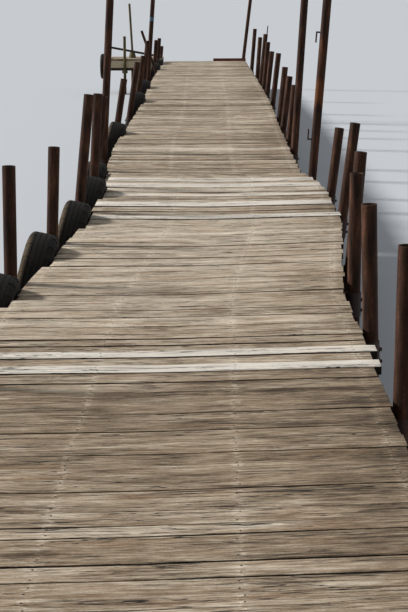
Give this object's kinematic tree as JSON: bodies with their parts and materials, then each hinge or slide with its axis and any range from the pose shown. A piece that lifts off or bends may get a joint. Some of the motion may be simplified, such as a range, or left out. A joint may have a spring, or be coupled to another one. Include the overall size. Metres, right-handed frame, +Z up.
{
  "type": "wooden jetty",
  "caption": "Narrow weathered plank jetty on leaning steel pipe piles, with tyre fenders along its left side and a small side landing at its far end.",
  "frame": {"origin": "centre of the jetty's plan box, at the level of the piles' feet", "axes": "+Y runs along the jetty from the shore end to the far end, +X to the right, +Z up"},
  "size_m": [3.5054, 29.403, 3.2945],
  "materials": {
    "weathered_deck": "bare weathered softwood, grey-brown, dry",
    "dark_timber": "damp dark rough-sawn timber",
    "red_brown_board": "worn red-brown stain",
    "fresh_timber": "newer yellowish sawn timber",
    "rusty_pipe": "dark brown rust scale",
    "bracket_steel": "dark rusted steel",
    "olive_post": "dull olive paint over rust",
    "tyre_rubber": "worn black rubber",
    "rope": "weathered rope"
  },
  "bodies": {
    "root": {"deck_bay_1": "weathered_deck", "stringers_bay_1": "dark_timber", "cross_beams_bay_1": "dark_timber", "piles_bay_1": "rusty_pipe", "tyres_bay_1": "tyre_rubber", "deck_bay_2": "weathered_deck", "stringers_bay_2": "dark_timber", "cross_beams_bay_2": "dark_timber", "piles_bay_2": "rusty_pipe", "tyres_bay_2": "tyre_rubber", "deck_bay_3": "weathered_deck", "stringers_bay_3": "dark_timber", "cross_beams_bay_3": "dark_timber", "piles_bay_3": "rusty_pipe", "tyres_bay_3": "tyre_rubber", "deck_bay_4": "weathered_deck", "stringers_bay_4": "dark_timber", "cross_beams_bay_4": "dark_timber", "piles_bay_4": "rusty_pipe", "tyres_bay_4": "tyre_rubber", "deck_bay_5": "weathered_deck", "stringers_bay_5": "dark_timber", "cross_beams_bay_5": "dark_timber", "piles_bay_5": "rusty_pipe", "tyres_bay_5": "tyre_rubber", "deck_bay_6": "weathered_deck", "stringers_bay_6": "dark_timber", "cross_beams_bay_6": "dark_timber", "piles_bay_6": "rusty_pipe", "tyres_bay_6": "tyre_rubber", "hooked_tall_pole": "rusty_pipe", "right_tall_pole": "rusty_pipe", "left_tall_pole": "rusty_pipe", "far_left_tall_pole": "rusty_pipe", "far_right_tall_pole": "rusty_pipe", "leaning_stake": "rusty_pipe", "right_brackets": "bracket_steel", "left_brackets": "bracket_steel", "pole_hooks": "bracket_steel", "loose_rod": "bracket_steel", "shore_header": "dark_timber", "joint_boards": "dark_timber", "far_end_board": "red_brown_board", "far_header": "dark_timber", "landing_deck": "weathered_deck", "landing_fascia": "fresh_timber", "landing_frame": "dark_timber", "landing_posts": "olive_post", "signal_post": "olive_post", "landing_rail": "dark_timber", "landing_tyre": "tyre_rubber", "tyre_lashings": "rope"}
  },
  "joints": []
}
